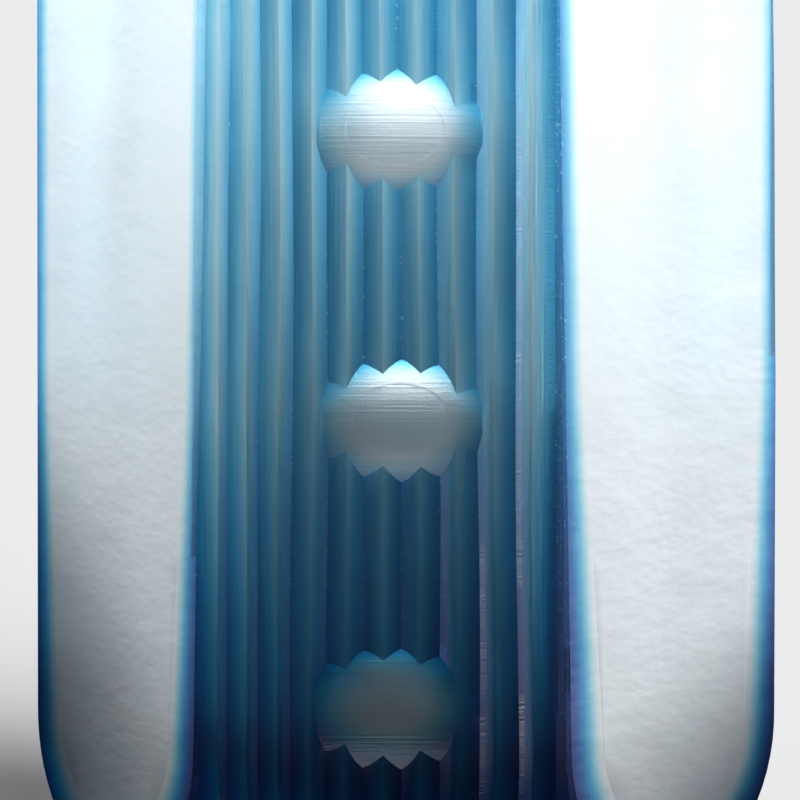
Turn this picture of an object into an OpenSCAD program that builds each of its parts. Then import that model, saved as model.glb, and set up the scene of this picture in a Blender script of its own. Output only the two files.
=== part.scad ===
// Cased and cut glass bud vase.
// A thick clear glass body is covered by a thin blue glass overlay, and the cutting wheel goes
// through the overlay. Three broad ground panels alternate with three fluted blue bands, and a
// column of dished ovals is ground down each band. Millimetres, +Z up, origin at the middle of
// the base. The middle of one fluted band faces -Y.

/* [Body] */
// Overall height
vase_h = 180; // [178:1:184]
// Radius of the straight wall, over the crests between the flutes
body_r = 45; // [44:0.5:46]
// Height at which the wall starts to draw in towards the base
wall_low_z = 20.5; // [19.5:0.5:21.5]
// Height at which the wall starts to draw in towards the shoulder
wall_high_z = 125; // [123:1:127]
// Radius of the curve that draws the wall in towards the base
foot_curve_r = 28; // [27:0.5:31]
// Radius of the long curve that draws the wall in towards the shoulder
top_curve_r = 57; // [56:0.5:60]
// Radius of the shoulder curve
shoulder_r = 22; // [21:0.5:23]
// Lean of the wall where the shoulder curve starts, in degrees
shoulder_lean = 26; // [24:1:28]
// Outside radius of the neck
neck_r = 16.5; // [16:0.5:17]
// Radius of the hollow where the neck meets the shoulder
neck_fillet_r = 8; // [7:0.5:9]
// Width of the ground bevel round the base
foot_bevel = 5.4; // [5.2:0.1:5.8]
// Run of that bevel for each millimetre of rise
foot_bevel_slope = 3; // [2.5:0.1:3.5]
// Width of the small bevel round the rim
rim_bevel = 0.6; // [0.4:0.1:0.8]

/* [Well] */
// Radius of the hollow inside
well_r = 31; // [28:0.5:32]
// Thickness of the solid glass base
base_t = 15; // [12:1:18]
// Radius of the curves at the bottom and the top of the hollow
well_curve_r = 12; // [10:0.5:13]
// Height at which the top curve of the hollow starts
well_high_z = 136; // [130:1:138]
// Radius of the bore through the neck
bore_r = 11; // [10:0.5:12]

/* [Overlay and cutting] */
// Thickness of the blue overlay from the shoulder down to where it starts to thicken
overlay_t = 2; // [1.8:0.1:2.2]
// Thickness of the blue overlay round the foot, where the gather was heavier
overlay_foot_t = 3.1; // [2.8:0.1:3.1]
// Height below which the overlay thickens
overlay_even_z = 62; // [50:1:90]
// Distance from the axis to each flat ground panel, at the height where it is measured
panel_d = 38.4; // [38:0.1:39]
// Height at which that distance is measured
panel_mid_z = 60; // [50:5:70]
// Lean of each panel, in degrees: it stands further out at the base than at the shoulder
panel_lean = 0.6; // [0:0.1:1.2]
// Flutes in each blue band
flutes = 10; // [8:1:10]
// Angle between one flute and the next beside the ovals, in degrees
flute_pitch = 5.68; // [5.6:0.02:5.8]
// Degrees by which flutes spread to the right of the ovals and close up to the left of them
flute_drift = 0.074; // [0.04:0.002:0.08]
// Depth of a flute
flute_depth = 1.28; // [1.1:0.02:1.4]
// Half the width of a flute at the surface
flute_half_w = 2.2; // [2:0.05:2.25]
// Flutes to the left of the column of ovals
flutes_left = 6; // [4:1:6]
// Angle from the middle of the band to the column of ovals, in degrees
column_shift = 3.1; // [2:0.1:3.2]
// Ovals in each column
ovals = 4; // [2:1:4]
// Height of the lowest oval
oval_low_z = 26.5; // [25:0.1:27]
// Distance from one oval to the next
oval_pitch = 33.7; // [33:0.1:34.5]
// Depth of an oval
oval_depth = 2.9; // [2.5:0.1:3.2]
// Radius of the wheel that grinds the ovals
oval_wheel_r = 35; // [30:1:40]
// Radius of the rounded edge of that wheel
oval_edge_r = 10.4; // [9:0.1:12]

/* [Hidden] */
$fn = 96;
bands = 3;
band_step = 360 / bands;
clear = 1;
// How far from the axis the lower and the upper curve have their centres
foot_curve_x = body_r - foot_curve_r;
top_curve_x = body_r - top_curve_r;
// Centre of the shoulder curve, which is tangent to the long upper curve
shoulder_c = [
    top_curve_x + (top_curve_r - shoulder_r) * cos(shoulder_lean),
    wall_high_z + (top_curve_r - shoulder_r) * sin(shoulder_lean)
];
// Centre of the neck fillet, which is tangent to the shoulder curve and to the neck
fillet_x = neck_r + neck_fillet_r;
fillet_reach = shoulder_r + neck_fillet_r;
fillet_z = shoulder_c.y + sqrt(pow(fillet_reach, 2) - pow(fillet_x - shoulder_c.x, 2));
fillet_c = [fillet_x, fillet_z];
// Straight stretches in the outline of those curves, below and above the wall
foot_chords = 5;
top_chords = 3;
// How far a flute cutter runs past the ends of its chord, and past the last one
chord_past = 1;
shoulder_past = 14;
// Radius at the foot, before the bevel
foot_r = foot_curve_x + sqrt(pow(foot_curve_r, 2) - pow(wall_low_z, 2));

// Points along an arc about c, from angle a0 to angle a1, in n steps
function arc(c, r, a0, a1, n) = [
    for (i = [0 : n]) let (a = a0 + (a1 - a0) * i / n) c + r * [cos(a), sin(a)]
];

// Angle below level at which the lower curve, t inside the outside, passes the base
function lean_at_foot(t) = asin((wall_low_z + clear) / (foot_curve_r - t));

// Half section of everything inside the surface that lies t below the outside,
// or foot_t below it from the lower end of the wall down
module inside(t, foot_t) {
    hand_lean = atan2(fillet_z - shoulder_c.y, fillet_x - shoulder_c.x);
    polygon(concat(
        [[0, -clear]],
        arc([foot_curve_x, wall_low_z], foot_curve_r - foot_t, -lean_at_foot(foot_t), 0, foot_chords),
        t == foot_t ? [] : [[body_r - t, overlay_even_z]],
        arc([top_curve_x, wall_high_z], top_curve_r - t, 0, shoulder_lean, top_chords),
        arc(shoulder_c, shoulder_r - t, shoulder_lean + 6, hand_lean, 8),
        arc(fillet_c, neck_fillet_r + t, hand_lean + 172, 180, 7),
        [[neck_r - t, vase_h + clear], [0, vase_h + clear]]
    ));
}

// Half section of the turned blank: its height, with the foot and the rim bevelled
module blank() {
    wide = body_r * 2;
    polygon([
        [0, 0], [foot_r - foot_bevel, 0], [foot_r - foot_bevel + wide * foot_bevel_slope, wide],
        [neck_r - rim_bevel + wide, vase_h - wide], [neck_r - rim_bevel, vase_h], [0, vase_h]
    ]);
}

// Half section of the hollow
module well() {
    bend_x = well_r - well_curve_r;
    throat_r = bend_x - bore_r;
    top_z = well_high_z + well_curve_r;
    polygon(concat(
        [[0, base_t]],
        arc([bend_x, base_t + well_curve_r], well_curve_r, -90, 0, 8),
        arc([bend_x, well_high_z], well_curve_r, 0, 90, 8),
        arc([bend_x, top_z + throat_r], throat_r, 260, 180, 7),
        [[bore_r, vase_h + clear], [0, vase_h + clear]]
    ));
}

// Centre line of a flute's surface, from the base to the shoulder
function flute_line() = concat(
    arc([foot_curve_x, wall_low_z], foot_curve_r, -lean_at_foot(0), 0, foot_chords),
    arc([top_curve_x, wall_high_z], top_curve_r, 0, shoulder_lean, top_chords)
);

// Straight V cutter under the chord from p to q, running a little past both of its ends
module chord_cutter(p, q, past_p, past_q) {
    side = flute_half_w / flute_depth * (flute_depth + clear);
    translate([p.x, 0, p.y])
        rotate([0, atan2(q.x - p.x, q.y - p.y), 0])
            translate([0, 0, -past_p])
                linear_extrude(norm(q - p) + past_p + past_q)
                    polygon([[-flute_depth, 0], [clear, side], [clear, -side]]);
}

// One flute, cut along +X: a chain of straight cutters that follows the outline
module flute() {
    line = flute_line();
    last = len(line) - 2;
    for (i = [0 : last])
        chord_cutter(line[i], line[i + 1], chord_past, i == last ? shoulder_past : chord_past);
}

module flutes_of_a_band() {
    for (i = [0 : flutes - 1]) let (u = i - flutes_left + 0.5)
        rotate(column_shift + u * flute_pitch + u * u * flute_drift) flute();
}

// The ovals of one band, ground by a wheel that turns about an upright axis
module ovals_of_a_band() {
    reach = body_r + oval_wheel_r - oval_depth;
    rotate(column_shift)
        for (i = [0 : ovals - 1])
            translate([reach, 0, oval_low_z + i * oval_pitch])
                rotate_extrude() translate([oval_wheel_r - oval_edge_r, 0]) circle(oval_edge_r);
}

// The flat panels, half way between the bands
module panels() {
    for (i = [0 : bands - 1])
        rotate(-90 + (i + 0.5) * band_step)
            translate([panel_d, 0, panel_mid_z])
                rotate([0, -panel_lean, 0])
                    translate([0, -body_r, -vase_h]) cube([body_r, body_r * 2, vase_h * 2]);
}

module on_each_band() {
    for (i = [0 : bands - 1]) rotate(-90 + i * band_step) children();
}

// Thick clear body. The panels and the ovals go into it, and the flutes stop short of it.
module clear_glass_body() {
    color([0.86, 0.91, 0.94]) difference() {
        rotate_extrude() difference() {
            intersection() {
                inside(overlay_t, overlay_foot_t);
                blank();
            }
            well();
        }
        panels();
        on_each_band() ovals_of_a_band();
    }
}

// Blue skin, one connected piece with three leaf-shaped windows and twelve oval ones
module blue_glass_overlay() {
    color([0.08, 0.36, 0.56]) difference() {
        rotate_extrude() difference() {
            intersection() {
                inside(0, 0);
                blank();
            }
            inside(overlay_t, overlay_foot_t);
        }
        panels();
        on_each_band() ovals_of_a_band();
        on_each_band() flutes_of_a_band();
    }
}

clear_glass_body();
blue_glass_overlay();
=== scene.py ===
"""Looks of the cased and cut glass bud vase.

The vase is two glasses fused into one wall: thick clear glass with a thin blue overlay. One grid of
points is laid over the turned blank, every point is pushed in by the deepest cut that reaches it
(flute, oval or flat panel), and the grid is then split where a cut goes through the overlay. That
gives two closed meshes which meet face to face. The vase is worked out in millimetres until its meshes
are made. The stage, the lights and the camera are in metres.
"""

import math

import bpy
import numpy as np
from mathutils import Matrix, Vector


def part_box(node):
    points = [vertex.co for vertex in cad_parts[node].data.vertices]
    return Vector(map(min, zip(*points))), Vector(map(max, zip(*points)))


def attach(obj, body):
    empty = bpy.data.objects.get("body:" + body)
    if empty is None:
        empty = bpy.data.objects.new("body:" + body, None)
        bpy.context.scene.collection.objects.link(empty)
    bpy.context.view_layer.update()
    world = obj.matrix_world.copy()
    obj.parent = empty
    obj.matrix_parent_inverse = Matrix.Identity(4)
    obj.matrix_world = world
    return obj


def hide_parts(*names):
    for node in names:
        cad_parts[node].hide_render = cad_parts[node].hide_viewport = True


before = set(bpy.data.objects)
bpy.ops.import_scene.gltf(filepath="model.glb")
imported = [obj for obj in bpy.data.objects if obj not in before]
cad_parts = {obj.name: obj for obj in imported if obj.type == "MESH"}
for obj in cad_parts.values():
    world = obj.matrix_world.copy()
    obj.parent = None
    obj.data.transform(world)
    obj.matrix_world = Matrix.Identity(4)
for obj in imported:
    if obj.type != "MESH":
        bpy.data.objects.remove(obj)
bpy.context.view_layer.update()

MM = 0.001
BODY = "root"
CLEAR_NODE = "clear_glass_body"
BLUE_NODE = "blue_glass_overlay"

# The blank, as in the CAD model
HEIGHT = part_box(CLEAR_NODE)[1][2] / MM
BODY_R = 45.0
WALL_LOW_Z, WALL_HIGH_Z = 20.5, 125.0
FOOT_CURVE_R, TOP_CURVE_R = 28.0, 57.0
FOOT_CURVE_X, TOP_CURVE_X = BODY_R - FOOT_CURVE_R, BODY_R - TOP_CURVE_R
SHOULDER_R, SHOULDER_LEAN = 22.0, math.radians(26)
NECK_R, NECK_FILLET_R = 16.5, 8.0
RIM_BEVEL = 0.6
FOOT_BEVEL, FOOT_BEVEL_SLOPE = 5.4, 3.0
WELL_R, WELL_CURVE_R, WELL_HIGH_Z = 31.0, 12.0, 136.0
BASE_T, BORE_R = 15.0, 11.0
OVERLAY_T, OVERLAY_FOOT_T, OVERLAY_EVEN_Z = 2.0, 3.1, 62.0

# The cutting
BANDS = 3
BAND_STEP = 360 / BANDS
PANEL_D, PANEL_MID_Z = 38.4, 60.0
PANEL_SLOPE = math.tan(math.radians(0.6))
FLUTES, FLUTES_LEFT = 10, 6
FLUTE_PITCH, FLUTE_DRIFT = 5.68, 0.074
FLUTE_DEPTH, FLUTE_HALF_W = 1.28, 2.2
FLUTE_SLOPE = FLUTE_DEPTH / FLUTE_HALF_W
FIRST_CREST, LAST_VALLEY = 1 - FLUTES_LEFT, FLUTES - FLUTES_LEFT - 0.5
COLUMN_SHIFT = 3.1
OVALS, OVAL_LOW_Z, OVAL_PITCH, OVAL_DEPTH = 4, 26.5, 33.7, 2.9
OVAL_STRAY = (-1.5, 0.0, -0.8, 0.4)
OVAL_WHEEL_R, OVAL_EDGE_R = 35.0, 10.4
OVAL_PLACES = [(OVAL_LOW_Z + i * OVAL_PITCH, COLUMN_SHIFT + OVAL_STRAY[i]) for i in range(OVALS)]

# Centres of the shoulder curve and of the neck fillet, which touch each other
SHOULDER_C = np.array([TOP_CURVE_X, WALL_HIGH_Z]) + (TOP_CURVE_R - SHOULDER_R) * np.array(
    [math.cos(SHOULDER_LEAN), math.sin(SHOULDER_LEAN)]
)
FILLET_X = NECK_R + NECK_FILLET_R
FILLET_C = np.array([
    FILLET_X,
    SHOULDER_C[1] + math.sqrt((SHOULDER_R + NECK_FILLET_R) ** 2 - (FILLET_X - SHOULDER_C[0]) ** 2),
])
HAND_LEAN = math.atan2(*(FILLET_C - SHOULDER_C)[::-1])
FOOT_R = FOOT_CURVE_X + math.sqrt(FOOT_CURVE_R**2 - WALL_LOW_Z**2)
STAND_R = FOOT_R - FOOT_BEVEL

# How fine the grid is
FLUTE_STEPS = 6
OVAL_ROWS, BETWEEN_ROWS = 18, 12
SHOULDER_ROWS, FILLET_ROWS = 14, 10
PANEL_STOPS = (0.95, 0.9, 0.85, 0.8, 0.72, 0.5, 0.25)
SEARCH_ROUNDS = 30

# Stands for the depth where a cut doesn't reach
UNCUT = -9.0

# The material slot of a face, and the cut that made it
GROUND, JOINT, POLISHED = 0, 1, 2
KIND_FLUTE, KIND_OVAL, KIND_PANEL, KIND_TURNED = 0, 1, 2, 3


# ---------------------------------------------------------------- the blank


def long_curve(z):
    """Radius of the wall's curve at height z, how far out its centre is, and how far z is above it.

    On the straight wall between the two curves that last is 0.
    """
    high = z > (WALL_LOW_Z + WALL_HIGH_Z) / 2
    radius = np.where(high, TOP_CURVE_R, FOOT_CURVE_R)
    rise = np.where(high, np.maximum(z - WALL_HIGH_Z, 0), np.minimum(z - WALL_LOW_Z, 0))
    return radius, BODY_R - radius, rise


def wall(z):
    """Radius, height and outward normal of the blank at height z, up to the shoulder."""
    radius, centre_x, rise = long_curve(z)
    reach = np.sqrt(radius**2 - rise**2)
    return centre_x + reach, z, reach / radius, rise / radius


def overlay_at(z):
    """Thickness of the blue overlay at height z, before it is cut."""
    share = np.clip((OVERLAY_EVEN_Z - z) / (OVERLAY_EVEN_Z - WALL_LOW_Z), 0, 1)
    return OVERLAY_T + (OVERLAY_FOOT_T - OVERLAY_T) * share


# ---------------------------------------------------------------- the hand of the cutter


def flute_angle(u, z, band):
    """Angle from the middle of the band of the line u flutes round from the ovals, at height z."""
    drawn = COLUMN_SHIFT + FLUTE_PITCH * u + FLUTE_DRIFT * u * u
    slow = 0.34 * np.sin(z / 27 + 0.55 * u + 2.1 * band)
    quick = 0.12 * np.sin(z / 9.5 + 1.9 * u + 1.3 * band)
    return drawn + slow + quick


def flute_depth(u, z, band):
    """Depth of the line of flute number u at height z, from the blank's surface."""
    return FLUTE_DEPTH * (1 + 0.05 * np.sin(z / 17 + 2.7 * u + band))


def panel_reach(z):
    """Distance from the axis to the flat panels at height z. They lean out towards the base."""
    return PANEL_D + PANEL_SLOPE * (PANEL_MID_Z - z)


def panel_half_angle(p_r, z):
    """Half the angle, of 4 degrees or more, that a flat panel takes out of a round of radius p_r at z."""
    cosine_of_least = math.cos(math.radians(4))
    return np.degrees(np.arccos(np.minimum(panel_reach(z) / p_r, cosine_of_least)))


# ---------------------------------------------------------------- depths of the cuts


def flutes_depth(angle, band, p_r, p_z, n_r, n_z):
    """How far each point is pushed in by the deepest flute over it. angle is from the band's middle."""
    over = angle > BAND_STEP / 2
    angle, band = np.where(over, angle - BAND_STEP, angle), np.where(over, (band + 1) % BANDS, band)
    radius, centre_x, rise = long_curve(p_z)
    out_r = p_r - centre_x
    reach = np.hypot(out_r, rise)
    facing = (out_r * n_r + rise * n_z) / reach
    deepest = np.full(np.shape(angle), UNCUT)
    for i in range(FLUTES):
        u = i - FLUTES_LEFT + 0.5
        away = np.abs(np.radians(angle - flute_angle(u, p_z, band))) * p_r
        deepest = np.maximum(deepest, flute_depth(u, p_z, band) - away * FLUTE_SLOPE)
    return (deepest + reach - radius) / facing


def oval_depth(angle, p_r, p_z, n_r, oval_z, oval_at):
    """How far each point is pushed in by the wheel that grinds the oval at oval_z, oval_at."""
    axis_r = BODY_R + OVAL_WHEEL_R - OVAL_DEPTH
    rise = np.clip((p_z - oval_z) / OVAL_EDGE_R, -1, 1)
    wheel_r = OVAL_WHEEL_R - OVAL_EDGE_R + OVAL_EDGE_R * np.sqrt(1 - rise**2)
    turn = np.radians(angle - oval_at)
    half_chord = wheel_r**2 - (axis_r * np.sin(turn)) ** 2
    hit = (half_chord > 0) & (np.abs(rise) < 1) & (np.abs(turn) < 1)
    cut_r = axis_r * np.cos(turn) - np.sqrt(np.maximum(half_chord, 0))
    return np.where(hit, (p_r - cut_r) / n_r, UNCUT)


def panel_depth(angle, p_r, p_z, n_r, n_z):
    """How far each point is pushed in by the flat panels. angle is from the band's middle."""
    turn = np.radians(np.abs(angle) - BAND_STEP / 2)
    return (p_r * np.cos(turn) - panel_reach(p_z)) / (n_r * np.cos(turn) + n_z * PANEL_SLOPE)


# ---------------------------------------------------------------- columns and rows of the grid


def columns():
    """Columns round the vase: band, kind and place. A flute column's place is its flute number."""
    found = []
    steps = int((LAST_VALLEY - FIRST_CREST) * FLUTE_STEPS)
    thirds = (0.0, 1 / 3, 2 / 3)
    for band in range(BANDS):
        found += [(band, "left_edge", t) for t in thirds] + [(band, "left", t) for t in thirds]
        found += [(band, "flute", FIRST_CREST + i / FLUTE_STEPS) for i in range(steps)]
        found += [(band, "right", t) for t in thirds] + [(band, "right_edge", t) for t in thirds]
        stops = [-1.0] + [-s for s in PANEL_STOPS] + [0.0] + [s for s in reversed(PANEL_STOPS)]
        found += [(band, "panel", s) for s in stops]
    return found


COLUMNS = columns()
COL_BAND = np.array([c[0] for c in COLUMNS])
COL_KIND = np.array([c[1] for c in COLUMNS])
COL_AT = np.array([c[2] for c in COLUMNS])


def column_angles(z, p_r):
    """Angle of each column from the middle of its band, at heights z and radii p_r, one for each column."""
    least = 0.5
    half = panel_half_angle(p_r, z)
    edge = BAND_STEP / 2 - half
    crest = flute_angle(FIRST_CREST, z, COL_BAND)
    valley = np.maximum(flute_angle(FIRST_CREST - 0.5, z, COL_BAND), least - edge)
    far_valley = flute_angle(LAST_VALLEY, z, COL_BAND)
    far_crest = np.minimum(flute_angle(LAST_VALLEY + 0.5, z, COL_BAND), edge - least)
    by_kind = {
        "left_edge": -edge + (valley + edge) * COL_AT,
        "left": valley + (crest - valley) * COL_AT,
        "flute": flute_angle(COL_AT, z, COL_BAND),
        "right": far_valley + (far_crest - far_valley) * COL_AT,
        "right_edge": far_crest + (edge - far_crest) * COL_AT,
        "panel": BAND_STEP / 2 + half * COL_AT,
    }
    return np.select([COL_KIND == k for k in by_kind], list(by_kind.values()))


def other_depth(z):
    """Depth at each column of everything but the ovals, at heights z on the wall."""
    p_r, p_z, n_r, n_z = wall(z)
    angle = column_angles(z, p_r)
    flutes = flutes_depth(angle, COL_BAND, p_r, p_z, n_r, n_z)
    return np.maximum(np.maximum(flutes, panel_depth(angle, p_r, p_z, n_r, n_z)), 0)


def bisect(beyond, low, high):
    """Where beyond(x) turns from False to True between low and high, for each column."""
    for _ in range(SEARCH_ROUNDS):
        middle = (low + high) / 2
        past = beyond(middle)
        low, high = np.where(past, low, middle), np.where(past, middle, high)
    return (low + high) / 2


def oval_reach(oval_z, oval_at, way):
    """How far above (way 1) or below (way -1) its middle the oval's rim lies on each column.

    It is never less than a small distance, which is also what columns past the oval's ends get.
    """
    least = 1.6

    def outside(h):
        z = oval_z + way * h
        p_r, p_z, n_r, _ = wall(z)
        return oval_depth(column_angles(z, p_r), p_r, p_z, n_r, oval_z, oval_at) < other_depth(z)

    zero = np.zeros(len(COLUMNS))
    return np.maximum(bisect(outside, zero, zero + OVAL_EDGE_R), least)


def foot_height():
    """Height on the blank of each column's lowest point, where the flutes run into the foot bevel."""

    def above(z):
        p_r, p_z, n_r, n_z = wall(z)
        depth = other_depth(z)
        return p_r - depth * n_r < STAND_R + FOOT_BEVEL_SLOPE * (p_z - depth * n_z)

    highest = 12
    zero = np.zeros(len(COLUMNS))
    return bisect(above, zero, zero + highest)


def wall_rows():
    """Heights of the rows up the wall, one array per row. Rows follow the rims of the ovals."""
    stops = [foot_height()]
    for oval_z, oval_at in OVAL_PLACES:
        stops += [oval_z - oval_reach(oval_z, oval_at, -1), oval_z + oval_reach(oval_z, oval_at, 1)]
    stops.append(np.full(len(COLUMNS), WALL_HIGH_Z + TOP_CURVE_R * math.sin(SHOULDER_LEAN)))
    rows = [stops[0]]
    for i, (low, high) in enumerate(zip(stops, stops[1:])):
        count = OVAL_ROWS if i % 2 else BETWEEN_ROWS
        rows += [low + (high - low) * (j + 1) / count for j in range(count)]
    return np.array(rows)


def arc(centre, radius, start, end, steps):
    """Points and outward normals along an arc, without its first point."""
    angles = start + (end - start) * np.arange(1, steps + 1) / steps
    facing = np.stack([np.cos(angles), np.sin(angles)], 1)
    return centre + radius * facing, facing


def blank_grid():
    """Radius, height and normal of the blank at every grid point, and the number of wall rows."""
    z = wall_rows()
    p_r, p_z, n_r, n_z = wall(z)
    shoulder, out_s = arc(SHOULDER_C, SHOULDER_R, SHOULDER_LEAN, HAND_LEAN, SHOULDER_ROWS)
    fillet, out_f = arc(FILLET_C, NECK_FILLET_R, HAND_LEAN + math.pi, math.pi, FILLET_ROWS)
    low_z, bevel_z = HEIGHT - 4, HEIGHT - RIM_BEVEL
    neck = np.array([[NECK_R, low_z], [NECK_R, bevel_z], [NECK_R - RIM_BEVEL, HEIGHT]])
    level = np.array([[1.0, 0.0]] * len(neck))
    points = np.concatenate([shoulder, fillet, neck])
    facing = np.concatenate([out_s, -out_f, level])
    ones = np.ones(len(COLUMNS))
    return [
        np.concatenate([low, high[:, None] * ones])
        for low, high in zip((p_r, p_z, n_r, n_z), (*points.T, *facing.T))
    ], len(z)


# ---------------------------------------------------------------- the cut surface


def cut_grid():
    """Every grid point outside and on the fused joint, with the overlay left and the kind of cut."""
    (p_r, p_z, n_r, n_z), wall_count = blank_grid()
    angle = np.array([column_angles(z, r) for z, r in zip(p_z, p_r)])
    flutes = flutes_depth(angle, COL_BAND, p_r, p_z, n_r, n_z)
    on_wall = np.arange(len(p_z))[:, None] < wall_count
    least_n_r = 0.2
    panels = panel_depth(angle, p_r, p_z, np.maximum(n_r, least_n_r), n_z)
    panels = np.where(on_wall, panels, UNCUT)
    ovals = np.full(p_r.shape, UNCUT)
    for oval_z, oval_at in OVAL_PLACES:
        hit = oval_depth(angle, p_r, p_z, n_r, oval_z, oval_at)
        ovals = np.where(on_wall, np.maximum(ovals, hit), UNCUT)
    depth = np.maximum(np.maximum(flutes, panels), np.maximum(ovals, 0))
    cuts = [ovals >= depth, panels >= depth, flutes >= depth]
    kind = np.select(cuts, [KIND_OVAL, KIND_PANEL, KIND_FLUTE], KIND_TURNED)
    depth = np.where(p_z > FILLET_C[1], 0, depth)
    thick = overlay_at(p_z)
    turn = np.radians(angle + COL_BAND * BAND_STEP - 90)
    outer = place(turn, p_r - depth * n_r, p_z - depth * n_z)
    joint_r = np.where(p_z > FILLET_C[1], NECK_R - OVERLAY_T, p_r - thick * n_r)
    joint_z = np.where(p_z > FILLET_C[1], p_z, p_z - thick * n_z)
    joint_r[0], joint_z[0] = joint_at_foot()
    return {
        "outer": outer,
        "joint": place(turn, joint_r, joint_z),
        "left": thick - depth,
        "kind": kind,
        "turn": turn,
    }


def joint_at_foot():
    """Where the fused joint comes out in the foot bevel."""
    inner_r = FOOT_CURVE_R - OVERLAY_FOOT_T
    z = 0.0
    for _ in range(SEARCH_ROUNDS):
        r = FOOT_CURVE_X + math.sqrt(inner_r**2 - (WALL_LOW_Z - z) ** 2)
        z = (r - STAND_R) / FOOT_BEVEL_SLOPE
    return r, z


def place(turn, r, z):
    """Points from their angle, radius and height."""
    return np.stack([r * np.cos(turn), r * np.sin(turn), z + 0 * turn], -1)


# ---------------------------------------------------------------- from grid to two closed meshes


class Shell:
    """Collects points and faces of one mesh, each face with its material and the kind of its cut."""

    def __init__(self):
        self.points, self.index, self.left = [], {}, []
        self.faces, self.slots, self.kinds = [], [], []

    def point(self, key, where, left):
        if key not in self.index:
            self.index[key] = len(self.points)
            self.points.append(where)
            self.left.append(left)
        return self.index[key]

    def face(self, corners, slot, kind):
        kept = [c for i, c in enumerate(corners) if c != corners[i - 1]]
        if len(set(kept)) > 2:
            self.faces.append(kept)
            self.slots.append(slot)
            self.kinds.append(kind)


def split(cell, left):
    """Splits a cell of the grid where the overlay runs out. Returns the blue part and the clear part."""
    blue, clear = [], []
    for i, here in enumerate(cell):
        after = cell[(i + 1) % len(cell)]
        (blue if left[here] > 0 else clear).append(("grid", here))
        if (left[here] > 0) != (left[after] > 0):
            crossing = ("edge", *sorted((here, after)))
            blue.append(crossing)
            clear.append(crossing)
    return blue, clear


def build_shells(grid):
    """The overlay and the clear body, split along the line where the overlay runs out."""
    rows, cols = grid["left"].shape
    left = grid["left"].ravel()
    outer, joint = grid["outer"].reshape(-1, 3), grid["joint"].reshape(-1, 3)
    kind = grid["kind"].ravel()
    blue, clear = Shell(), Shell()

    def at_edge(key):
        a, b = key[1:]
        share = left[a] / (left[a] - left[b])
        return outer[a] + (outer[b] - outer[a]) * share

    def corners(shell, part, side):
        found = []
        for key in part:
            if key[0] == "edge":
                found.append(shell.point(key, at_edge(key), 0.0))
            elif side == "joint":
                found.append(shell.point(("joint", key[1]), joint[key[1]], left[key[1]]))
            else:
                found.append(shell.point(key, outer[key[1]], left[key[1]]))
        return found

    for row in range(rows - 1):
        for col in range(cols):
            after = (col + 1) % cols
            cell = [row * cols + col, row * cols + after, (row + 1) * cols + after, (row + 1) * cols + col]
            common = int(np.median(kind[cell]))
            blue_part, clear_part = split(cell, left)
            if len(blue_part) > 2:
                blue.face(corners(blue, blue_part, "outer"), GROUND, common)
                blue.face(corners(blue, blue_part, "joint")[::-1], JOINT, KIND_TURNED)
                clear.face(corners(clear, blue_part, "joint"), JOINT, KIND_TURNED)
            if len(clear_part) > 2:
                clear.face(corners(clear, clear_part, "outer"), GROUND, common)
    top = (rows - 1) * cols
    for col in range(cols):
        after = (col + 1) % cols
        rim = [("grid", top + col), ("grid", top + after)]
        foot = [("grid", after), ("grid", col)]
        for outside in (rim, foot):
            ring = corners(blue, outside, "outer") + corners(blue, outside[::-1], "joint")
            blue.face(ring, POLISHED, KIND_TURNED)
    finish_clear(clear, grid, top, cols)
    return blue, clear


def finish_clear(clear, grid, top, cols):
    """Closes the clear body: bevels, bore, well and base."""
    joint = grid["joint"].reshape(-1, 3)

    def rings(start, outline, waviness, turns_in):
        before = [clear.point(("joint", start + c), joint[start + c], 0.0) for c in range(cols)]
        turn = grid["turn"][0 if start == 0 else -1]
        for step, (r, z) in enumerate(outline):
            if r < 1e-6:
                tip = clear.point(("tip", start), np.array([0, 0, z]), 0.0)
                ring = [tip] * cols
            else:
                swell = r * (1 + waviness * np.sin(2 * turn + z / 23) * math.sin(z / 31 + 1))
                where = place(turn, swell, z)
                ring = [clear.point(("ring", start, step, c), where[c], 0.0) for c in range(cols)]
            for col in range(cols):
                after = (col + 1) % cols
                cell = [before[col], before[after], ring[after], ring[col]]
                clear.face(cell if turns_in else cell[::-1], POLISHED, KIND_TURNED)
            before = ring

    rings(top, bore_outline(), 0.0016, True)
    rings(0, base_outline(), 0.0, False)


def bore_outline():
    """Outline from the rim down the bore and the well to the middle of its floor."""
    bend_x = WELL_R - WELL_CURVE_R
    throat_r = bend_x - BORE_R
    top_z = WELL_HIGH_Z + WELL_CURVE_R
    turns = [math.radians(a) for a in range(180, 271, 10)]
    outline = [(BORE_R + 0.5, HEIGHT), (BORE_R, HEIGHT - 0.5), (BORE_R, HEIGHT - 12)]
    outline += [
        (bend_x + throat_r * math.cos(a), top_z + throat_r + throat_r * math.sin(a)) for a in turns
    ]
    rounds = [math.radians(a) for a in range(80, -1, -10)]
    outline += [
        (bend_x + WELL_CURVE_R * math.cos(a), WELL_HIGH_Z + WELL_CURVE_R * math.sin(a)) for a in rounds
    ]
    low_z = BASE_T + WELL_CURVE_R
    outline += [(WELL_R, low_z + (WELL_HIGH_Z - low_z) * s / 10) for s in range(9, 0, -1)]
    outline += [
        (bend_x + WELL_CURVE_R * math.cos(a), low_z - WELL_CURVE_R * math.sin(a)) for a in rounds[::-1]
    ]
    return outline + [(bend_x, BASE_T), (bend_x / 2, BASE_T), (0, BASE_T)]


def base_outline():
    """Outline from the foot bevel across the flat base to its middle."""
    return [(STAND_R, 0), (STAND_R * 0.96, 0), (STAND_R * 0.7, 0), (STAND_R * 0.35, 0), (0, 0)]


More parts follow.
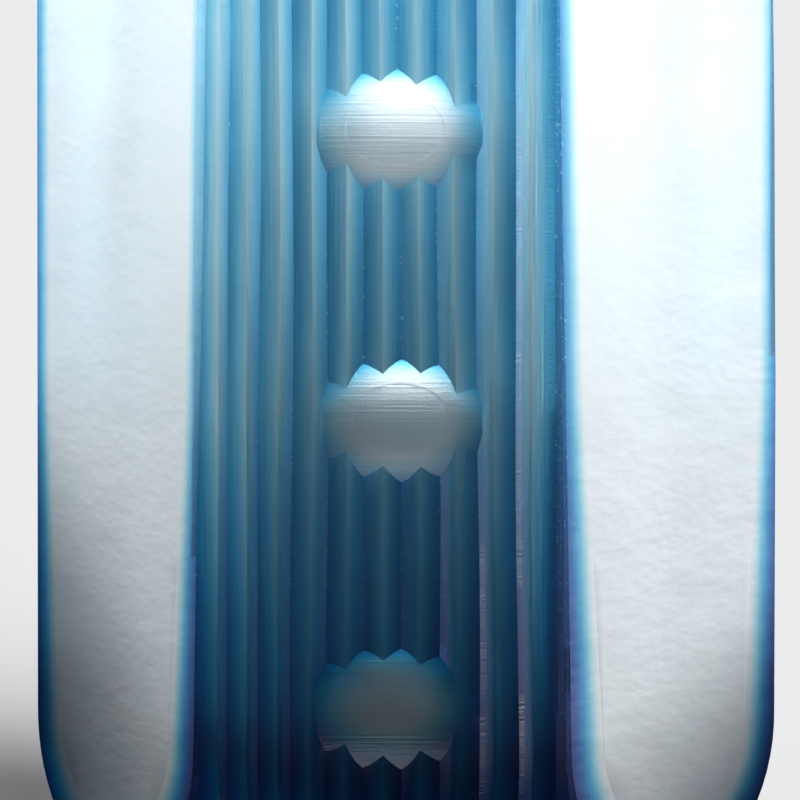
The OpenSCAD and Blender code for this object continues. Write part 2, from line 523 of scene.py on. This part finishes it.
def make_piece(name, shell, materials):
    """A Blender object from a shell, in metres, with the attributes that its materials read."""
    mesh = bpy.data.meshes.new(name)
    points = np.array(shell.points)
    mesh.from_pydata((points * MM).tolist(), [], shell.faces)
    for material in materials:
        mesh.materials.append(material)
    mesh.polygons.foreach_set("material_index", shell.slots)
    mesh.attributes.new("blue_left", "FLOAT", "POINT").data.foreach_set("value", shell.left)
    lines = mesh.attributes.new("lines", "FLOAT_VECTOR", "CORNER")
    lines.data.foreach_set("vector", grinding_lines(shell, points).ravel())
    mesh.set_sharp_from_angle(angle=math.radians(24))
    piece = bpy.data.objects.new(name, mesh)
    bpy.context.scene.collection.objects.link(piece)
    return piece


def grinding_lines(shell, points):
    """For every face corner: millimetres along the grinding lines, across them, and the kind of cut."""
    found = []
    for face, kind in zip(shell.faces, shell.kinds):
        start = math.atan2(points[face[0]][0], -points[face[0]][1])
        for corner in face:
            x, y, z = points[corner]
            turn = math.atan2(x, -y) - start
            turn = start + (turn + math.pi) % (2 * math.pi) - math.pi
            around = BODY_R * turn
            found.append((around, z, kind) if kind == KIND_OVAL else (z, around, kind))
    return np.array(found)


# ---------------------------------------------------------------- materials


class Nodes:
    """Short calls for the shader nodes of one material."""

    def __init__(self, name):
        self.material = bpy.data.materials.new(name)
        self.material.use_nodes = True
        self.tree = self.material.node_tree
        self.shader = self.tree.nodes["Principled BSDF"]

    def add(self, kind, **settings):
        node = self.tree.nodes.new(kind)
        for key, value in settings.items():
            setattr(node, key, value)
        return node

    def link(self, source, target):
        self.tree.links.new(source, target)

    def attribute(self, name):
        return self.add("ShaderNodeAttribute", attribute_name=name)

    def math(self, operation, first, second=0.0, clamp=False):
        node = self.add("ShaderNodeMath", operation=operation, use_clamp=clamp)
        for socket, value in zip(node.inputs, (first, second)):
            if isinstance(value, (int, float)):
                socket.default_value = value
            else:
                self.link(value, socket)
        return node.outputs[0]

    def times(self, first, second):
        return self.math("MULTIPLY", first, second)

    def noise(self, vector, scale, detail=2.0, rough=0.5):
        node = self.add("ShaderNodeTexNoise")
        node.inputs["Scale"].default_value = scale
        node.inputs["Detail"].default_value = detail
        node.inputs["Roughness"].default_value = rough
        self.link(vector, node.inputs["Vector"])
        return node.outputs["Fac"]

    def stretched(self, vector, scale, turned=0.0):
        node = self.add("ShaderNodeMapping")
        node.inputs["Rotation"].default_value = (0, 0, turned)
        node.inputs["Scale"].default_value = scale
        self.link(vector, node.inputs["Vector"])
        return node.outputs["Vector"]

    def bump(self, height, distance, strength=1.0, normal=None):
        node = self.add("ShaderNodeBump")
        node.inputs["Distance"].default_value = distance
        node.inputs["Strength"].default_value = strength
        self.link(height, node.inputs["Height"])
        if normal is not None:
            self.link(normal, node.inputs["Normal"])
        return node.outputs["Normal"]

    def object_position(self):
        return self.add("ShaderNodeTexCoord").outputs["Object"]


# How strongly each millimetre of full blue absorbs red, green and blue light
BLUE_ABSORPTION = (3.5, 1.07, 0.43)
GROUND_WHITE = (0.80, 0.86, 0.89)
GLASS_IOR = 1.5


def blue_depth(left):
    """How many millimetres of full blue the overlay left there counts for. Thin overlay is paler."""
    blue_per_mm = 0.40
    return blue_per_mm * left**2


def blue_ramp(nodes, left):
    """Colour of the ground glass for the millimetres of overlay that are left under each point."""
    deepest, stops = 3.4, 20
    ramp = nodes.add("ShaderNodeValToRGB")
    elements = ramp.color_ramp.elements
    while len(elements) < stops:
        elements.new(0.5)
    for i, element in enumerate(elements):
        element.position = i / (stops - 1)
        depth = blue_depth(deepest * i / (stops - 1))
        passed = [w * math.exp(-k * depth) for w, k in zip(GROUND_WHITE, BLUE_ABSORPTION)]
        element.color = (*passed, 1)
    nodes.link(nodes.math("DIVIDE", left, deepest, clamp=True), ramp.inputs["Fac"])
    return ramp.outputs["Color"]


def chips(nodes, left, z):
    """Millimetres of overlay knocked off in tiny chips along the sharp crests between the flutes."""
    crest_reach, chip_depth, chip_scale, rarity = 0.13, 0.7, 2600.0, 0.66
    run = OVERLAY_EVEN_Z - WALL_LOW_Z
    thicker = nodes.math("DIVIDE", nodes.math("SUBTRACT", OVERLAY_EVEN_Z, z), run, clamp=True)
    whole = nodes.math("ADD", nodes.times(thicker, OVERLAY_FOOT_T - OVERLAY_T), OVERLAY_T)
    on_crest = nodes.math("GREATER_THAN", left, nodes.math("SUBTRACT", whole, crest_reach))
    chipped = nodes.math("GREATER_THAN", nodes.noise(nodes.object_position(), chip_scale, 1.0), rarity)
    return nodes.times(nodes.times(on_crest, chipped), chip_depth)


def ground_glass(name):
    """Satin cut glass: coloured by the overlay left in it, with the lines that the wheel leaves."""
    nodes = Nodes(name)
    lines = nodes.attribute("lines").outputs["Vector"]
    along = nodes.add("ShaderNodeSeparateXYZ")
    nodes.link(lines, along.inputs[0])
    on_panel = nodes.math("COMPARE", along.outputs["Z"], float(KIND_PANEL))
    on_oval = nodes.math("COMPARE", along.outputs["Z"], float(KIND_OVAL))
    fine = nodes.noise(nodes.stretched(lines, (0.06, 3.4, 7.0)), 1.0, 3.0, 0.6)
    broad = nodes.noise(nodes.stretched(lines, (0.03, 0.7, 3.0)), 1.0, 2.0, 0.5)
    sweep = nodes.noise(nodes.stretched(lines, (0.13, 0.045, 1.0), 0.55), 1.0, 3.5, 0.6)
    grain = nodes.noise(nodes.object_position(), 4500.0, 2.0, 0.6)
    cloud = nodes.noise(nodes.object_position(), 55.0, 3.0, 0.5)
    # X is the height everywhere but in the ovals, and those have no crests for it to chip
    nodes.link(uneven_blue(nodes, along.outputs["X"], fine, cloud), nodes.shader.inputs["Base Color"])

    satin, panel_rougher, grain_rough, fine_rough = 0.31, 0.22, 0.10, 0.08
    rough = nodes.math("ADD", nodes.times(grain, grain_rough), nodes.times(fine, fine_rough))
    by_cut = nodes.math("ADD", nodes.times(on_panel, panel_rougher), satin)
    nodes.link(nodes.math("ADD", rough, by_cut), nodes.shader.inputs["Roughness"])

    line_height, oval_extra, broad_height, sweep_height = 1.15, 0.4, 0.8, 11.0
    off_panel = nodes.math("SUBTRACT", line_height, on_panel)
    fine_height = nodes.math("ADD", nodes.times(on_oval, oval_extra), off_panel)
    cut_lines = nodes.times(fine, fine_height)
    waves = nodes.times(broad, nodes.times(off_panel, broad_height))
    swept = nodes.times(nodes.times(sweep, on_panel), sweep_height)
    height = nodes.math("ADD", nodes.math("ADD", cut_lines, waves), swept)
    line_bump, grain_bump = 0.05 * MM, 0.02 * MM
    normal = nodes.bump(height, line_bump)
    nodes.link(nodes.bump(grain, grain_bump, 1.0, normal), nodes.shader.inputs["Normal"])

    passes, panel_milkier = 0.80, 0.34
    through = nodes.math("SUBTRACT", passes, nodes.times(on_panel, panel_milkier))
    nodes.link(through, nodes.shader.inputs["Transmission Weight"])
    nodes.shader.inputs["IOR"].default_value = GLASS_IOR
    return nodes.material


def uneven_blue(nodes, z, fine, cloud):
    """Colour of the overlay that is left, streaked along the grinding lines, patchy and chipped."""
    streaks, patches, full_from = 0.5, 0.3, 1.0
    left = nodes.attribute("blue_left").outputs["Fac"]
    streak = nodes.times(nodes.math("SUBTRACT", fine, 0.5), streaks)
    patch = nodes.times(nodes.math("SUBTRACT", cloud, 0.5), patches)
    share = nodes.math("MINIMUM", left, full_from)
    uneven = nodes.times(nodes.math("ADD", streak, patch), share)
    worn = nodes.math("SUBTRACT", nodes.math("ADD", left, uneven), chips(nodes, left, z))
    return blue_ramp(nodes, worn)


def polished_glass(name, colour):
    """Fire-polished or buffed glass: the rim, the bore, the well and the base, with fine wipe marks."""
    nodes = Nodes(name)
    position = nodes.object_position()
    pull = nodes.noise(nodes.stretched(position, (60.0, 60.0, 18.0)), 1.0, 2.0, 0.5)
    wipe = nodes.noise(nodes.stretched(position, (2500.0, 300.0, 2500.0)), 1.0, 2.0, 0.7)
    wipe_rough, polish, paler = 0.05, 0.015, 1.05
    nodes.link(nodes.math("ADD", nodes.times(wipe, wipe_rough), polish), nodes.shader.inputs["Roughness"])
    mix = nodes.add("ShaderNodeMix", data_type="RGBA")
    nodes.link(pull, mix.inputs["Factor"])
    mix.inputs["A"].default_value = (*colour, 1)
    mix.inputs["B"].default_value = (*[min(1, c * paler) for c in colour], 1)
    nodes.link(mix.outputs["Result"], nodes.shader.inputs["Base Color"])
    nodes.link(nodes.bump(pull, 0.3 * MM, 0.5), nodes.shader.inputs["Normal"])
    nodes.shader.inputs["IOR"].default_value = GLASS_IOR
    nodes.shader.inputs["Transmission Weight"].default_value = 1.0
    return nodes.material


def fused_joint(name):
    """The joint between the two glasses. They are fused and bend light alike, so nothing shows there."""
    nodes = Nodes(name)
    nodes.shader.inputs["Alpha"].default_value = 0.0
    nodes.shader.inputs["IOR"].default_value = 1.0
    return nodes.material


# ---------------------------------------------------------------- stage, lights and camera


def floor():
    """A plain pale floor, far wider than the picture."""
    mesh = bpy.data.meshes.new("floor")
    half = 6.0
    corners = [(-half, -half, 0), (half, -half, 0), (half, half, 0), (-half, half, 0)]
    mesh.from_pydata(corners, [], [(0, 1, 2, 3)])
    nodes = Nodes("pale_floor")
    nodes.shader.inputs["Base Color"].default_value = (0.80, 0.81, 0.82, 1)
    nodes.shader.inputs["Roughness"].default_value = 0.7
    mesh.materials.append(nodes.material)
    plane = bpy.data.objects.new("floor", mesh)
    bpy.context.scene.collection.objects.link(plane)
    return plane


def black_felt():
    """Dull black, for the sheets round the vase."""
    nodes = Nodes("black_felt")
    nodes.shader.inputs["Base Color"].default_value = (0.01, 0.01, 0.012, 1)
    nodes.shader.inputs["Roughness"].default_value = 0.9
    return nodes.material


def black_stage(name, outline, felt, shades):
    """A black sheet by the vase. The camera doesn't see it, but reflections and the glass do."""
    mesh = bpy.data.meshes.new(name)
    mesh.from_pydata(outline, [], [list(range(len(outline)))])
    mesh.materials.append(felt)
    sheet = bpy.data.objects.new(name, mesh)
    sheet.visible_camera = False
    sheet.visible_shadow = shades
    bpy.context.scene.collection.objects.link(sheet)


def black_sheets():
    """A round mat on the floor, and low cards behind and beside the vase that shade its foot."""
    felt = black_felt()
    steps, radius, above_floor = 48, 0.65, 0.0003
    turns = [math.tau * i / steps for i in range(steps)]
    mat = [(radius * math.cos(a), radius * math.sin(a), above_floor) for a in turns]
    black_stage("black_mat", mat, felt, False)
    above, half_width, card_y, back_top = 0.001, 0.20, 0.09, 0.080
    back = [(-half_width, card_y, above), (half_width, card_y, above),
            (half_width, card_y, back_top), (-half_width, card_y, back_top)]
    black_stage("card_back", back, felt, True)
    near_y, far_y = -0.07, 0.05
    sides = (("card_left", -0.085, 0.020, 0.100), ("card_right", 0.085, 0.015, 0.060))
    for name, x, near_top, far_top in sides:
        beside = [(x, near_y, above), (x, far_y, above), (x, far_y, far_top), (x, near_y, near_top)]
        black_stage(name, beside, felt, True)


def softbox(name, place_at, aim_at, width, height, power, spread=180):
    """A soft rectangular light. A narrower spread keeps more of it on the vase."""
    light = bpy.data.lights.new(name, "AREA")
    light.shape = "RECTANGLE"
    light.size, light.size_y = width, height
    light.energy = power
    light.spread = math.radians(spread)
    holder = bpy.data.objects.new(name, light)
    holder.location = place_at
    holder.rotation_euler = (Vector(aim_at) - Vector(place_at)).to_track_quat("-Z", "Y").to_euler()
    holder.visible_camera = False
    bpy.context.scene.collection.objects.link(holder)
    return holder


def broad_light(name, comes_from, strength, softness, pieces, ground):
    """An even light on the floor alone, in which only the vase throws a shadow."""
    light = bpy.data.lights.new(name, "SUN")
    light.energy, light.angle = strength, math.radians(softness)
    light.cycles.use_multiple_importance_sampling = False
    holder = bpy.data.objects.new(name, light)
    holder.rotation_euler = (-Vector(comes_from)).to_track_quat("-Z", "Y").to_euler()
    bpy.context.scene.collection.objects.link(holder)
    only_on(holder, [ground])
    casting = bpy.data.collections.new(name + "_casting")
    for piece in pieces:
        casting.objects.link(piece)
    holder.light_linking.blocker_collection = casting


def around(azimuth, elevation, distance, height=0.0):
    """A place seen from the vase's axis: azimuth 0 is towards the viewer (-Y), 90 is to the right (+X)."""
    a, e = math.radians(azimuth), math.radians(elevation)
    flat = distance * math.cos(e)
    return (flat * math.sin(a), -flat * math.cos(a), height + distance * math.sin(e))


def only_on(light, pieces):
    """Lets a light reach only the given pieces."""
    lit = bpy.data.collections.new(light.name + "_lit")
    for piece in pieces:
        lit.objects.link(piece)
    light.light_linking.receiver_collection = lit


def lights(pieces, ground):
    """Four soft lights round the glass alone, and two even lights for the floor alone."""
    middle, shoulder, upper_front = (0, 0, 0.10), (0, 0, 0.16), (0, -0.03, 0.10)
    right, left = around(97, 22, 0.60, 0.05), around(-97, 30, 0.40, 0.05)
    behind, in_front = around(180, 28, 0.60, 0.05), (0.0, -0.13, 0.22)
    key = softbox("key_right", right, middle, width=0.30, height=0.36, power=1.2, spread=70)
    fill = softbox("fill_left", left, middle, width=0.20, height=0.24, power=0.50, spread=80)
    back = softbox("back_high", behind, shoulder, width=0.60, height=0.40, power=6.4)
    top = softbox("top_front", in_front, upper_front, width=0.14, height=0.06, power=0.05, spread=90)
    for light in (key, fill, back, top):
        only_on(light, pieces)
    broad_light("broad_right", around(34, 36, 1), 4.5, 42, pieces, ground)
    broad_light("overhead", (0, 0, 1), 0.75, 120, pieces, ground)
    world = bpy.data.worlds.new("studio")
    world.use_nodes = True
    world.node_tree.nodes["Background"].inputs["Color"].default_value = (0.93, 0.95, 1, 1)
    world.node_tree.nodes["Background"].inputs["Strength"].default_value = 0.05
    bpy.context.scene.world = world
    bpy.context.scene.view_settings.view_transform = "Standard"


def camera():
    """A long lens a metre away, framed so tightly that the neck and the base are out of the picture."""
    distance, frame_width = 1.0, 0.0972
    middle_z, left_of_axis = 0.0587, 0.00058
    azimuth, elevation = 3.9, 5.0
    a = math.radians(azimuth)
    aim = Vector((-left_of_axis * math.cos(a), -left_of_axis * math.sin(a), middle_z))
    data = bpy.data.cameras.new("camera")
    data.sensor_width = 36
    data.lens = data.sensor_width * distance / frame_width
    data.clip_start = 0.01
    holder = bpy.data.objects.new("camera", data)
    holder.location = aim + Vector(around(azimuth, elevation, distance))
    holder.rotation_euler = (aim - holder.location).to_track_quat("-Z", "Y").to_euler()
    bpy.context.scene.collection.objects.link(holder)
    bpy.context.scene.camera = holder


# ---------------------------------------------------------------- the vase


def vase():
    """The overlay and the clear body, each riding on the one body in place of its CAD node."""
    grid = cut_grid()
    blue, clear = build_shells(grid)
    ground = ground_glass("satin_cut_glass")
    joint = fused_joint("fused_joint")
    rim_blue = polished_glass("polished_blue_glass", (0.10, 0.34, 0.52))
    polished = polished_glass("polished_clear_glass", (0.93, 0.965, 0.97))
    overlay = make_piece("blue_overlay", blue, (ground, joint, rim_blue))
    body = make_piece("clear_body", clear, (ground, joint, polished))
    for piece, node, slot in ((overlay, BLUE_NODE, "blue_glass"), (body, CLEAR_NODE, "clear_glass")):
        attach(piece, BODY)
        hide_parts(node)
    return overlay, body


ground = floor()
black_sheets()
camera()
lights(vase(), ground)
